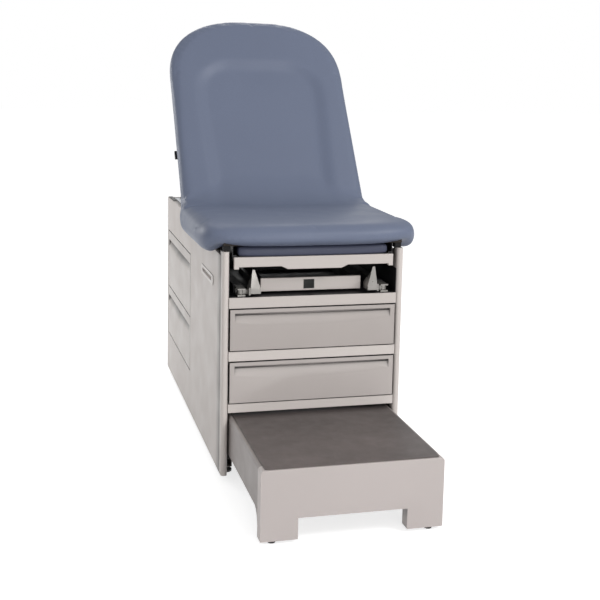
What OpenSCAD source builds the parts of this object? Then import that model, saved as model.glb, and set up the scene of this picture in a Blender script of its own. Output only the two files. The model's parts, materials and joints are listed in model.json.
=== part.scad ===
// Box-type examination table: a folded sheet-steel cabinet with a hinged back, a pull-out leg rest,
// a pull-out step, two front and two side drawers, a treatment pan and two stirrups.
// Frame: +X right, +Y towards the head end, +Z up, origin on the floor under the middle of the part.
// Lengths are in millimetres. Places along the table are counted from the cabinet's front face.

/* [Cabinet] */
// Width of the cabinet over its side panels
cab_w = 610; // [580:5:680]
// Length of the cabinet from front face to rear face
cab_len = 1340; // [1320:5:1460]
// Height of the side panels' top edge
cab_top = 786; // [776:1:800]
// Height of the cabinet's underside above the floor
cab_clear = 24; // [18:1:28]
// Depth of the folded side panels
panel_t = 22; // [18:1:26]
// Thickness of the sheet steel
sheet_t = 1.5; // [1:0.1:2]
// Length of the rounded front posts
post_len = 43; // [36:1:48]
// Groove between a front post and its side panel
post_groove = 3; // [1:0.5:5]
// Depth of the front posts' top below the side panels' top edge
post_drop = 18; // [14:1:22]

/* [Front rails] */
// Underside of the rail over the step
header_z = 236; // [232:1:240]
// Height of the rail over the step
header_h = 29; // [25:1:31]
// Height of each front drawer's opening
bay_h = 143; // [138:1:148]
// Height of the rail between the front drawers
divider_h = 32; // [28:1:36]
// Height of the rail over the front drawers
sill_h = 35; // [32:1:36]
// Depth of the rails from front to back
rail_d = 24; // [20:1:30]

/* [Drawers] */
// Gap round the drawer fronts
reveal = 4; // [3:0.5:6]
// Thickness of a drawer front
drawer_front_t = 20; // [18:1:24]
// Height of the pull lip along the top of a drawer front
lip_h = 12; // [11:1:16]
// Height of the pull lip of a side drawer
side_lip_h = 36; // [28:1:40]
// Height of the finger slot under the pull lip
pull_slot_h = 8; // [6:1:10]
// Depth of the slot and of the scoop that runs out below it
scoop_d = 13; // [10:1:14]
// Travel of the front drawers
front_travel = 400; // [300:10:430]
// Travel of the side drawers
side_travel = 380; // [300:10:400]
// Start of the side drawers' opening
side_bay_y0 = 678; // [676:1:690]
// Height of the side drawers' opening above the floor
side_bay_z0 = 187; // [180:1:195]
// Height of the lower side drawer's place
side_low_h = 213; // [195:1:230]
// Height of the upper side drawer's place
side_up_h = 246; // [230:1:250]

/* [Step] */
// How far the step stands out of the cabinet
step_out = 480; // [440:5:500]
// Gap beside the step
step_side_gap = 5; // [4:0.5:10]
// Height of the step's sheet top
step_top = 222; // [212:1:226]
// Thickness of the rubber tread
tread_t = 3; // [2:0.5:4]
// Depth of the step's front legs
leg_d = 43; // [36:1:50]
// Height of the step's feet
step_foot_h = 10; // [8:1:12]
// Width of the cut-out between the step's legs
cutout_w = 332; // [280:2:360]
// Height of the cut-out's top edge
cutout_z = 74; // [60:1:84]

/* [Upholstery] */
// Seat cushion's overhang beside the cabinet
seat_side = 65; // [56:1:72]
// Seat cushion's overhang in front of the cabinet
seat_over = 32; // [28:1:40]
// Height of the seat cushion's crown above the side panels' top edge
seat_pad = 66; // [64:1:70]
// Back cushion's overhang beside the cabinet
back_side = 50; // [44:1:58]
// Length of the back cushion, from the hinge
back_len = 906; // [880:2:920]
// Thickness of the back cushion and its raised border
back_pad = 59; // [55:1:62]
// Lean of the back above level, as photographed
back_lean = 54; // [45:9:63]
// Travel of the leg rest
legrest_travel = 400; // [350:10:410]

/* [Back support] */
// Distance of the back's hinge behind the cabinet's front face
hinge_y = 603; // [600:1:606]
// Depth of the back's hinge below the side panels' top edge
hinge_drop = 8; // [7:0.5:9]
// Length of the strut, and of the crank that it makes with the back
strut_len = 335; // [325:1:336]
// Angle between two lock positions of the back
lock_step = 9; // [8:0.5:9]
// Travel of the lock pins
lock_travel = 6; // [5:0.5:6]

/* [Hidden] */
$fn = 48;

paint = "#c4bdb6";
paint_shade = "#b4aca5";
vinyl = "#6f7b90";
vinyl_dark = "#3d455e";
rubber = "#5f5752";
black = "#1b1b1d";
steel = "#a9adb2";
cast = "#cbc7c1";
timber = "#b7976b";

// Fits and cuts
overrun = 1;
run_gap = 0.05;
slide_gap = 0.3;
soft_gap = 0.3;

// Places that several pieces share
front_y = (step_out - cab_len) / 2;
side_x = cab_w / 2;
inner_x = side_x - panel_t;
panel_y0 = post_len + post_groove;
post_top = cab_top - post_drop;
seat_top = cab_top + seat_pad;
side_split_z = side_bay_z0 + side_low_h;
side_bay_z1 = side_split_z + side_up_h;
header_top = header_z + header_h;
divider_z = header_top + bay_h;
divider_top = divider_z + divider_h;
sill_z = divider_top + bay_h;
sill_top = sill_z + sill_h;
rail_y0 = 3;
rail_y1 = rail_y0 + rail_d;
floor_rail = 30;
floor_rail_t = 2;
base_top = cab_clear + floor_rail;

// Side panels: shoulder under the seat's front corners, stiffeners and the grip's hole
shoulder_z = cab_top - 34;
shoulder_y = 230;
shoulder_ramp = 60;
hinge_z = cab_top - hinge_drop;
stiffener_w = 40;
stiffener_ys = [110, 360];
stiffener_top = sill_z - 6;
carrier_stiffener_y = hinge_y - 18;
carrier_stiffener_top = hinge_z - 38;
grip_y = 294;
grip_drop = 143;
grip_z = cab_top - grip_drop;
grip_len = 250;
grip_h = 34;
grip_t = 2.5;
slot_len = 184;
slot_h = 13;
cup_d = 17;
cup_t = 1.2;

// Rear panel, bulkhead and head deck
rear_recess = 3;
rear_y1 = cab_len - rear_recess;
rear_y0 = rear_y1 - sheet_t;
rear_flange = 15;
rear_top = cab_top - 1;
rear_stile = 30;
side_bay_y1 = cab_len - rear_stile;
side_bay_mid = (side_bay_y0 + side_bay_y1) / 2;
side_bay_half = (side_bay_y1 - side_bay_y0) / 2;
rear_hat_x = 140;
rear_hat_w = 40;
base_y0 = 80;
base_y1 = rear_y1 - rear_flange;
deck_y1 = base_y1;
bulkhead_fold = 14;
bulkhead_y1 = side_bay_y0;
bulkhead_y0 = bulkhead_y1 - sheet_t;
deck_top = hinge_z - 78;
deck_flange = deck_top - side_bay_z1;
screw_r = 4.5;
screw_h = 2.2;
screw_inset = 23;
screw_xs = [for (s = [-1:1]) s * (inner_x - screw_inset)];
screw_zs = [for (s = [0:2]) cab_clear + 2 * screw_inset + s * (cab_top - cab_clear - 4 * screw_inset) / 2];

// Bay for the pan and the stirrups
liner_t = 1.5;
liner_floor = sill_top + liner_t;
liner_top = cab_top - 86;
liner_y0 = 8;
liner_wall_y = 560;

// Runners of the drawers
runner_t = 1.5;
runner_w = 13.5;
runner_gap = 1.5;
drawer_rail_w = runner_w + runner_gap - runner_t - 1;
drawer_rail_h = 18;
runner_y0 = 60;
runner_y1 = 640;
drawer_rail_setback = 30;
drawer_box_t = 1.5;
drawer_box_d = 560;
front_box_h = 104;
front_box_z = 12;
front_rail_z = 60;
side_box_d = 520;
side_box_h = 150;
side_box_z = 14;
side_rail_z = 60;
side_runner_x0 = 25;
side_runner_d = 540;

// Drawer fronts: the scoop's lower edge bows, so a tilted cylinder cuts it
front_half = inner_x - reveal;
side_front_half = side_bay_half - reveal;
lip_t = 4;
finger_h = 7;
scoop_margin = 16;
scoop_run = 38;
scoop_rise = 16;
scoop_fn = 720;
front_box_half = inner_x - runner_w - runner_gap;
side_box_half = side_bay_half - runner_w - runner_gap;

// Levelling feet
foot_r = 20;
foot_h = 8;
foot_stem_r = 6;
foot_ys = [base_y0 + floor_rail, cab_len - 50];
foot_x = inner_x - floor_rail / 2;

// Step
step_sheet = 2;
step_half = inner_x - step_side_gap;
step_rear = 110;
skirt_z = 92;
skirt_fillet = 45;
step_corner_r = 10;
tread_margin = 13;
tread_front = 8;
tread_corner_r = 9;
tread_rear = 5;
step_slide_w = 13.3;
step_slide_h = 20;
step_slide_z = 142;
step_slide_y0 = -420;
step_runner_t = 2;
step_runner_leg = 20;
step_runner_y0 = 60;
step_runner_y1 = 655;
step_foot_r = 12;
step_foot_x = 240;

// Seat
board_z = cab_top;
board_t = 15;
board_top = board_z + board_t;
board_half = side_x - 5;
board_y0 = 10;
board_y1 = 540;
cavity_half = side_x + 1.5;
cavity_margin = 6;
cavity_corner = [12, 12];
seat_w = cab_w + 2 * seat_side;
seat_front_ease = 140;
seat_rear_ease = 60;
seat_draw = 10;
seat_shares = [[0.4, 0.1], [0.1, 0.3], [0, 0.55], [0.1, 0.8], [0.4, 1]];
seat_top_shares = [[0.035, 0.7], [0.075, 0.42], [0.14, 0.22], [0.3, 0.1], [0.6, 0.03]];
ring_corner_n = 8;
ring_side_n = 5;
seat_y1 = 560;
seat_rear_bevel = 14;
seat_skirt_side = 20;
seat_skirt_front = 1.5;
seat_front_a = 190;
seat_rear_a = 22;
seat_corner_n = 4;
seat_rear_n = 4;
seat_fall = 20;
seat_fall_y = 300;
bracket_y0 = 14;
bracket_y1 = 42;
bracket_inset = 5;

// Leg rest
leg_bar_t = 14;
leg_bar_half = inner_x - 15;
leg_bar_top = cab_top - 36;
leg_bar_z = leg_bar_top - 32;
leg_rail_z = leg_bar_top - 10;
leg_drop = 10;
leg_drop_half = 91;
leg_drop_slope = 21;
leg_tab_w = 16;
leg_tab_h = 7;
carrier_half = inner_x - 27;
carrier_t = 8;
carrier_y1 = 540;
carrier_rail_w = 12.4;
carrier_rail_h = 12.4;
carrier_sheet = 2;
leg_runner_t = 2;
leg_runner_y0 = 20;
leg_runner_y1 = 545;
legrest_half = carrier_half - 4;
legrest_corner = [20, 4];
legrest_draw = 6;
legrest_shares = [[1, 0.01], [0.35, 0.12], [0, 0.4], [0.1, 0.7], [0.5, 0.88], [1.2, 0.95],
    [3.5, 0.985], [12, 0.995]];
legrest_pad = 33.5;
legrest_y0 = 2;
legrest_y1 = 420;

// Back
board_w0 = 11;
back_board_t = 12;
board_w1 = board_w0 + back_board_t;
back_board_u0 = 62;
back_board_u1 = back_len - 64;
board_corner_r = 200;
back_gap = 3;
back_cavity_n = 3.2;
back_half = side_x + back_side;
back_u0 = 46;
back_bevel = 26;
back_w0 = board_w0 + 1;
back_w1 = back_w0 + back_pad;
back_draw = 10;
back_ease = 200;
back_shares = [[1, 0, 0], [0.3, 0.15, 0], [0, 0.4, 0], [0.05, 0.65, 0], [0.35, 0.85, 0.4],
    [1, 0.96, 0.85]];
back_top_a = 300;
back_top_n = 2.5;
back_low_a = 20;
back_low_n = 4;
back_recess = 11;
back_border = 120;
back_head = 230;
back_face_shares = [[0.18, 0.1, 0, 1], [0.38, 0.28, -0.05, 1], [0.62, 0.6, -0.06, 1], [0.8, 0.86, 0.08, 1],
    [1, 1, 0.5, 1], [1.2, 1.14, 0.92, 1], [1.4, 1.3, 1, 1], [1.9, 1.7, 0.92, 0.92]];
back_centre = 0.75;
recess_a = 130;
recess_n = 3.2;
back_rail_x = inner_x - 78;
back_rail_w = 15;
back_rail_end = 620;
hinge_r = 6;
hinge_end_r = 9;
carrier_beam = 30;
carrier_beam_t = 2;
carrier_beam_top = hinge_z - 48;
ear_x = inner_x - 59.5;
ear_t = 6;
ear_half = 13;

// Strut, foot axle and lock
strut_x = ear_x;
strut_w = 10;
strut_r = 8;
strut_foot_r = 9;
strut_pin_r = 5;
strut_pin_end = 2.5;
foot_tube_r = 6;
lock_pin_r = 3;
lock_pin_len = 45;
lock_end = 0.2;
lock_gap = 0.08;
lock_bore = 60;
roller_r = 8;
roller_w = 16;
track_t = 1.5;
track_w = 20;
track_end = 16;
track_leg_w = 20;
lock_angles = [for (k = [0, 2, 3, 4, 5, 6, 7]) k * lock_step];
track_y0 = hinge_y + 2 * strut_len * cos(max(lock_angles)) - track_end;
track_y1 = hinge_y + 2 * strut_len + track_end;
tube_end = inner_x - track_t - 0.7;
release_u = 278;
release_w = 3;
release_r = 6;
release_half = side_x + 13;
paddle_x = release_half + 36;
paddle_len = 30;
paddle_t = 8;
notch_half = 10;
notch_z = cab_top - 16;
bumper_y1 = cab_len - 10;
bumper_len = 150;
bumper_y0 = bumper_y1 - bumper_len;
bumper_h = 2.6;
bumper_inset = 3;

// Treatment pan
pan_front_half = inner_x - 112;
pan_half = pan_front_half - 15;
pan_corner_r = 14;
pan_front_t = 14;
pan_y0 = 45;
pan_y1 = pan_y0 + pan_front_t;
pan_z = sill_top + 9;
pan_front_h = 44;
pan_len = 346;
pan_h = 38;
pan_t = 1.2;
pan_rail_w = 12;
pan_rail_h = 12;
pan_runner_t = 2;
pan_runner_y0 = pan_y0 + 20;
pan_runner_y1 = pan_y0 + 380;
badge_w = 36;
badge_h = 30;
badge_t = 1.2;
badge_shift = 8;

// Stirrups
guide_x = inner_x - 41;
guide_w = 30;
guide_t = 2;
guide_y0 = 70;
guide_y1 = 540;
guide_z = liner_floor + guide_w / 2;
arm_w = guide_w - 2 * guide_t - 2 * slide_gap;
arm_t = 2.5;
arm_y0 = 6;
arm_block_y1 = 50;
arm_y1 = 520;
yoke_gap = 16.4;
yoke_y1 = 42;
swivel_y = 24;
swivel_r = 6;
hub_r = 11;
hub_h = yoke_gap - 2 * slide_gap;
head_x = guide_x - 27.7;
head_arm_w = 16;
head_plate_t = 5;
head_plate_y0 = -4;
head_plate_y1 = 32;
head_plate_z0 = guide_z - 7.9;
head_plate_z1 = guide_z + 16.5;
cup_pin_r = 4;
cup_pin_y = 6;
cup_pin_z = guide_z + 4.5;
cup_pin_inset = 3;
cup_x0 = pan_front_half + 10;
cup_x1 = head_x - slide_gap;
cup_z0 = guide_z - 3.5;
cup_z1 = leg_bar_z - 10;
cup_y0 = -4;
cup_y1 = 46;
cup_heel_z = cup_z0 + 19;
cup_tip_y = 6;
cup_tip_half = 4;
cup_shoulder_z = cup_z0 + 16;
cup_tip_shift = 6;
cup_wall = 5;
cup_scoop_back = 6;
cup_scoop_r = 46;

// Shared building blocks

// Moves the cabinet's frame, which starts at its front face, to the part's frame
module in_place() {
    translate([0, front_y, 0]) children();
}

// A piece on each side of the table
module both_sides() {
    children();
    mirror([1, 0, 0]) children();
}

// The leaning back's own frame: Y runs up along the back, Z points out of its face
module on_back() {
    in_place() translate([0, hinge_y, hinge_z]) rotate([back_lean, 0, 0]) children();
}

// The side drawers open to the left: turns a front that looks along -Y
module to_left_side() {
    translate([-side_x, side_bay_mid, 0]) rotate([0, 0, -90]) children();
}

// A box between two corners
module block(from, to) {
    translate(from) cube(to - from);
}

// Round bars along X, Y and Z
module bar_x(x0, x1, y, z, r) {
    translate([x0, y, z]) rotate([0, 90, 0]) cylinder(r = r, h = x1 - x0);
}
module bar_y(x, y0, y1, z, r) {
    translate([x, y0, z]) rotate([-90, 0, 0]) cylinder(r = r, h = y1 - y0);
}
module bar_z(x, y, z0, z1, r) {
    translate([x, y, z0]) cylinder(r = r, h = z1 - z0);
}

// A polygon drawn in the YZ plane and thickened along X
module side_plate(x0, x1, points) {
    translate([x0, 0, 0]) rotate([90, 0, 90]) linear_extrude(x1 - x0) polygon(points);
}

// A polygon drawn in the XZ plane and thickened along Y
module front_plate(y0, y1, points) {
    translate([0, y1, 0]) rotate([90, 0, 0]) linear_extrude(y1 - y0) polygon(points);
}

// A long hole or plate with round ends, along Y, thickened along X
module pill(x0, x1, y, z, len, h) {
    block([x0, y - (len - h) / 2, z - h / 2], [x1, y + (len - h) / 2, z + h / 2]);
    for (s = [-1, 1]) bar_x(x0, x1, y + s * (len - h) / 2, z, h / 2);
}

// A channel along Y, open towards the middle of the table
module channel(x0, x1, y0, y1, z0, z1, t) {
    difference() {
        block([x0, y0, z0], [x1, y1, z1]);
        block([x0 - overrun, y0 - overrun, z0 + t], [x1 - t, y1 + overrun, z1 - t]);
    }
}

// A folded rail across the cabinet's front, open towards the rear
module cross_rail(z0, z1) {
    difference() {
        block([-inner_x, rail_y0, z0], [inner_x, rail_y1, z1]);
        block([-inner_x + sheet_t, rail_y0 + sheet_t, z0 + sheet_t],
            [inner_x - sheet_t, rail_y1 + overrun, z1 - sheet_t]);
    }
}

// A drawer front that looks along -Y: pull lip over its full width, finger slot behind and under the
// lip, then a scoop that runs out below it, whose lower edge bows because a tilted cylinder cuts it
module drawer_face(half, z0, z1, lip) {
    lip_z = z1 - lip;
    slot_z = lip_z - pull_slot_h;
    scoop_half = half - scoop_margin;
    slant = sqrt(scoop_d * scoop_d + scoop_run * scoop_run);
    scoop_r = scoop_half * scoop_half * slant / (2 * scoop_rise * scoop_d);
    difference() {
        block([-half, 0, z0], [half, drawer_front_t, z1]);
        intersection() {
            block([-scoop_half, -overrun, slot_z - scoop_run - overrun], [scoop_half, scoop_d, slot_z]);
            translate([0, scoop_d, slot_z]) rotate([-atan2(scoop_d, scoop_run), 0, 0])
                bar_z(0, -scoop_r, -2 * slant, slant, scoop_r, $fn = scoop_fn);
        }
        block([-scoop_half, -overrun, slot_z], [scoop_half, scoop_d, lip_z]);
        block([-scoop_half, lip_t, slot_z], [scoop_half, scoop_d, lip_z + finger_h]);
    }
}

// A drawer box behind such a front, with the rails that run in the drawer's runners
module drawer_box(half, depth, z0, height, rail_z) {
    difference() {
        union() {
            block([-half, drawer_front_t, z0], [half, drawer_front_t + depth, z0 + height]);
            block([-half - drawer_rail_w, drawer_front_t + drawer_rail_setback, rail_z],
                [half + drawer_rail_w, drawer_front_t + depth, rail_z + drawer_rail_h]);
        }
        block([-half + drawer_box_t, drawer_front_t + drawer_box_t, z0 + drawer_box_t],
            [half - drawer_box_t, drawer_front_t + depth - drawer_box_t, z0 + height + overrun]);
    }
}

// Pair of channels for those rails
module drawer_runners(outer, y0, y1, rail_z) {
    both_sides() channel(outer - runner_w, outer, y0, y1, rail_z - slide_gap - runner_t,
        rail_z + drawer_rail_h + slide_gap + runner_t, runner_t);
}

// Soft forms: closed rings of points that are joined one after the other, cavity first, crown last

function ease(t) = let (c = min(1, max(0, t))) c * c * (3 - 2 * c);

// One corner of a ring, from its side towards its middle: half width, length and squareness
function ring_corner(half, reach, square) = [
    for (k = [0:ring_corner_n]) let (t = 90 * k / (ring_corner_n + 1 / 2))
        [half * pow(cos(t), 2 / square), reach * pow(sin(t), 2 / square)]];

// A whole ring between v0 and v1, counter-clockwise from above, starting on the right side.
// Squareness of its low and high corners, and how far these reach along the sides.
function ring_plan(half, v0, v1, low, high) = let (
    lower = ring_corner(half, low[0], low[1]),
    upper = ring_corner(half, high[0], high[1]),
    a = v0 + low[0],
    b = v1 - high[0]) concat(
    [for (k = [0:ring_corner_n]) [upper[k][0], b + upper[k][1]]],
    [for (k = [ring_corner_n:-1:0]) [-upper[k][0], b + upper[k][1]]],
    [for (k = [1:ring_side_n]) [-half, b + (a - b) * k / (ring_side_n + 1)]],
    [for (k = [0:ring_corner_n]) [-lower[k][0], a - lower[k][1]]],
    [for (k = [ring_corner_n:-1:0]) [lower[k][0], a - lower[k][1]]],
    [for (k = [1:ring_side_n]) [half, a + (b - a) * k / (ring_side_n + 1)]]);

// Joins rings of equal length. A point closes the first ring, and another one the last.
module joined_rings(rings, bottom, top) {
    n = len(rings[0]);
    last = len(rings) - 1;
    points = concat([for (ring = rings) each ring], [bottom, top]);
    polyhedron(points, concat(
        [for (k = [0:n - 1]) [n * (last + 1), k, (k + 1) % n]],
        [for (r = [0:last - 1]) for (k = [0:n - 1]) let (j = (k + 1) % n)
            [r * n + k, (r + 1) * n + k, (r + 1) * n + j]],
        [for (r = [0:last - 1]) for (k = [0:n - 1]) let (j = (k + 1) % n)
            [r * n + k, (r + 1) * n + j, r * n + j]],
        [for (k = [0:n - 1]) [last * n + k, n * (last + 1) + 1, last * n + (k + 1) % n]]),
        convexity = 6);
}

// Cabinet

// Outline of a side panel in the YZ plane, drawn in by a margin
function panel_outline(m) = let (k = m * tan(atan2(cab_top - shoulder_z, shoulder_ramp) / 2)) [
    [panel_y0 + m, cab_clear + m],
    [cab_len - m, cab_clear + m],
    [cab_len - m, cab_top - m],
    [shoulder_y + shoulder_ramp + k, cab_top - m],
    [shoulder_y + k, shoulder_z - m],
    [panel_y0 + m, shoulder_z - m]];

// A hat-shaped stiffener against the inside of the right panel's skin
module stiffener(y0, y1, z0, z1) {
    difference() {
        block([inner_x, y0, z0], [side_x - sheet_t, y1, z1]);
        block([inner_x + sheet_t, y0 + sheet_t, z0 - overrun], [side_x, y1 - sheet_t, z1 - sheet_t]);
    }
}

// The right panel without side drawers
module panel_body() {
    difference() {
        side_plate(inner_x, side_x, panel_outline(0));
        side_plate(inner_x - overrun, side_x - sheet_t, panel_outline(sheet_t));
    }
    for (y = stiffener_ys) stiffener(y - stiffener_w / 2, y + stiffener_w / 2, cab_clear + sheet_t,
        stiffener_top);
    stiffener(carrier_stiffener_y, side_bay_y0 - sheet_t, cab_clear + sheet_t, carrier_stiffener_top);
}

// Hole for the grip's cup and notch for the release bar
module panel_cuts() {
    pill(side_x - 2 * sheet_t, side_x + overrun, grip_y, grip_z,
        slot_len + 2 * (cup_t + slide_gap), slot_h + 2 * (cup_t + slide_gap));
    block([inner_x - overrun, hinge_y + release_u - notch_half, notch_z],
        [side_x + overrun, hinge_y + release_u + notch_half, cab_top + overrun]);
}

// Walls of that notch
module notch_walls() {
    y = hinge_y + release_u;
    z = notch_z - sheet_t;
    difference() {
        block([inner_x, y - notch_half - sheet_t, z], [side_x, y + notch_half + sheet_t, cab_top]);
        block([inner_x - overrun, y - notch_half, notch_z],
            [side_x + overrun, y + notch_half, cab_top + overrun]);
    }
}

module right_side_panel() color(paint) in_place() {
    difference() {
        panel_body();
        panel_cuts();
    }
    notch_walls();
}

module left_side_panel() color(paint) in_place() mirror([1, 0, 0]) {
    difference() {
        union() {
            panel_body();
            block([inner_x, side_bay_y0 - sheet_t, side_bay_z0 - sheet_t],
                [side_x, side_bay_y1 + sheet_t, side_bay_z1 + sheet_t]);
        }
        block([inner_x - overrun, side_bay_y0, side_bay_z0],
            [side_x + overrun, side_bay_y1, side_bay_z1]);
        panel_cuts();
    }
    notch_walls();
}

module front_posts() color(paint) in_place() both_sides() {
    r = panel_t / 2;
    difference() {
        union() {
            block([inner_x, r, cab_clear], [side_x, post_len, post_top]);
            bar_z(inner_x + r, r, cab_clear, post_top, r);
        }
        block([inner_x + sheet_t, r, cab_clear - overrun],
            [side_x - sheet_t, post_len - sheet_t, post_top - sheet_t]);
        bar_z(inner_x + r, r, cab_clear - overrun, post_top - sheet_t, r - sheet_t);
    }
}

module rear_panel() color(paint) in_place() {
    difference() {
        block([-inner_x, rear_y1 - rear_flange, cab_clear], [inner_x, rear_y1, rear_top]);
        block([-inner_x + sheet_t, rear_y1 - rear_flange - overrun, cab_clear + sheet_t],
            [inner_x - sheet_t, rear_y0, rear_top - sheet_t]);
    }
    both_sides() difference() {
        block([rear_hat_x - rear_hat_w / 2, side_bay_y1, side_bay_z0],
            [rear_hat_x + rear_hat_w / 2, rear_y0, side_bay_z1]);
        block([rear_hat_x - rear_hat_w / 2 + sheet_t, side_bay_y1 + sheet_t, side_bay_z0 - overrun],
            [rear_hat_x + rear_hat_w / 2 - sheet_t, rear_y0, side_bay_z1 + overrun]);
    }
}

module panel_screws() color(steel) in_place() for (x = screw_xs) for (z = screw_zs) difference() {
    bar_y(x, rear_y1, rear_y1 + screw_h, z, screw_r);
    translate([x, rear_y1 + screw_h / 2, z]) rotate([-90, 0, 0])
        cylinder(r = screw_r / 2, h = screw_h, $fn = 6);
}

module bulkhead() color(paint_shade) in_place() {
    block([-inner_x, bulkhead_y0, base_top], [inner_x, bulkhead_y1, deck_top]);
    block([-inner_x, bulkhead_y0 - bulkhead_fold, base_top], [inner_x, bulkhead_y0, base_top + sheet_t]);
}

module base_frame() color(paint_shade) in_place() {
    both_sides() difference() {
        block([inner_x - floor_rail, base_y0, cab_clear], [inner_x, base_y1, base_top]);
        block([inner_x - floor_rail + floor_rail_t, base_y0 - overrun, cab_clear + floor_rail_t],
            [inner_x - floor_rail_t, base_y1 + overrun, base_top - floor_rail_t]);
    }
    for (y = [bulkhead_y0 - floor_rail, base_y1 - floor_rail]) difference() {
        block([-inner_x + floor_rail, y, cab_clear], [inner_x - floor_rail, y + floor_rail, base_top]);
        block([-inner_x + floor_rail - overrun, y + floor_rail_t, cab_clear + floor_rail_t],
            [inner_x - floor_rail + overrun, y + floor_rail - floor_rail_t, base_top - floor_rail_t]);
    }
}

module sill_rail() color(paint) in_place() cross_rail(sill_z, sill_top);

module drawer_rails() color(paint) in_place() {
    cross_rail(header_z, header_top);
    cross_rail(divider_z, divider_top);
}

module bay_liner() color(black) in_place() difference() {
    block([-inner_x, liner_y0, sill_top], [inner_x, liner_wall_y, liner_top]);
    block([-inner_x + liner_t, liner_y0 - overrun, liner_floor],
        [inner_x - liner_t, liner_wall_y - liner_t, liner_top + overrun]);
}

module head_deck() color(paint_shade) in_place() difference() {
    block([-inner_x, side_bay_y0, deck_top - deck_flange], [inner_x, deck_y1, deck_top + sheet_t]);
    block([-inner_x + sheet_t, side_bay_y0 - overrun, deck_top - deck_flange - overrun],
        [inner_x - sheet_t, deck_y1 + overrun, deck_top]);
}

module hinge_carrier() color(black) in_place() {
    y0 = hinge_y - ear_half;
    y1 = hinge_y + ear_half;
    difference() {
        block([-inner_x, y0, carrier_beam_top - carrier_beam], [inner_x, y1, carrier_beam_top]);
        block([-inner_x - overrun, y0 + carrier_beam_t, carrier_beam_top - carrier_beam + carrier_beam_t],
            [inner_x + overrun, y1 - carrier_beam_t, carrier_beam_top - carrier_beam_t]);
    }
    both_sides() {
        block([ear_x, y0, carrier_beam_top], [ear_x + ear_t, y1, hinge_z]);
        bar_x(ear_x, ear_x + ear_t, hinge_y, hinge_z, ear_half);
        bar_x(back_rail_x - ear_t / 2, ear_x + ear_t, hinge_y, hinge_z, hinge_r);
    }
}

module strut_tracks() color(steel) in_place() both_sides() {
    z0 = hinge_z - roller_r - slide_gap - track_t;
    z1 = hinge_z + roller_r + slide_gap + track_t;
    difference() {
        union() {
            channel(inner_x - track_w, inner_x, track_y0, track_y1, z0, z1, track_t);
            for (y = [track_y0, track_y1 - track_leg_w])
                block([inner_x - track_t, y, deck_top + sheet_t], [inner_x, y + track_leg_w, z1]);
        }
        for (a = lock_angles) bar_x(inner_x - track_w, inner_x + overrun,
            hinge_y + 2 * strut_len * cos(a), hinge_z, lock_pin_r + slide_gap);
    }
}

module grip_bezels() color(black) in_place() both_sides() difference() {
    union() {
        pill(side_x, side_x + grip_t, grip_y, grip_z, grip_len, grip_h);
        pill(side_x - cup_d, side_x, grip_y, grip_z, slot_len + 2 * cup_t, slot_h + 2 * cup_t);
    }
    pill(side_x - cup_d + cup_t, side_x + grip_t + overrun, grip_y, grip_z, slot_len, slot_h);
}

module edge_bumpers() color(rubber) in_place() both_sides()
    block([inner_x + bumper_inset, bumper_y0, cab_top],
        [side_x - bumper_inset, bumper_y1, cab_top + bumper_h]);

module levelling_feet() color(black) in_place() both_sides() for (y = foot_ys) {
    bar_z(foot_x, y, 0, foot_h, foot_r);
    bar_z(foot_x, y, foot_h, cab_clear, foot_stem_r);
}

// Seat

module seat_board() color(timber) in_place()
    block([-board_half, board_y0, board_z], [board_half, board_y1, board_top]);

// A ring of the seat: half width, front and rear ends, corners, height at the sides and at both ends
function seat_ring(half, v0, v1, low, high, side_h, end_h) = [
    for (p = ring_plan(half, v0, v1, low, high)) let (
        f = ease((v0 + seat_front_ease - p[1]) / seat_front_ease)
            + ease((p[1] - v1 + seat_rear_ease) / seat_rear_ease))
        [p[0], p[1], side_h + (end_h - side_h) * f]];

// Outer rings: draws the outline in by m at a share h of the wall's height
function seat_skin(m, h) = seat_ring(seat_w / 2 - m, m - seat_over, seat_y1 - m + seat_rear_bevel * (1 - h),
    [seat_front_a, seat_corner_n], [seat_rear_a, seat_rear_n],
    cab_top - seat_skirt_side + h * (seat_top - seat_fall - cab_top + seat_skirt_side),
    cab_top + seat_skirt_front + h * (seat_top - seat_fall - cab_top - seat_skirt_front));

module seat_cushion() color(vinyl) in_place() joined_rings([
    seat_ring(cavity_half, board_y0 - cavity_margin, board_y1 + cavity_margin, cavity_corner,
        cavity_corner, board_top + soft_gap, board_top + soft_gap),
    seat_ring(cavity_half, board_y0 - cavity_margin, board_y1 + cavity_margin, cavity_corner,
        cavity_corner, cab_top - seat_skirt_side, cab_top + seat_skirt_front),
    seat_skin(seat_draw, 0),
    for (s = seat_shares) seat_skin(seat_draw * s[0], s[1]),
    for (s = seat_top_shares) [for (p = seat_skin(seat_fall_y * s[0], 1))
        [p[0], p[1], seat_top - seat_fall * s[1]]]],
    [0, (board_y0 + board_y1) / 2, board_top + soft_gap], [0, (seat_y1 - seat_over) / 2, seat_top]);

module seat_brackets() color(black) in_place() both_sides()
    block([inner_x - bracket_inset, bracket_y0, post_top],
        [side_x - bracket_inset, bracket_y1, board_z]);

// Leg rest

module legrest_bar() color(paint) in_place() {
    a = leg_drop_half;
    b = leg_drop_half + leg_drop_slope;
    front_plate(0, leg_bar_t, [[-leg_bar_half, leg_bar_z], [-b, leg_bar_z], [-a, leg_bar_z - leg_drop],
        [a, leg_bar_z - leg_drop], [b, leg_bar_z], [leg_bar_half, leg_bar_z],
        [leg_bar_half, leg_bar_top], [-leg_bar_half, leg_bar_top]]);
    both_sides() block([leg_bar_half - leg_tab_w, 0, leg_bar_z - leg_tab_h],
        [leg_bar_half, leg_bar_t, leg_bar_z + overrun]);
}

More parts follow.
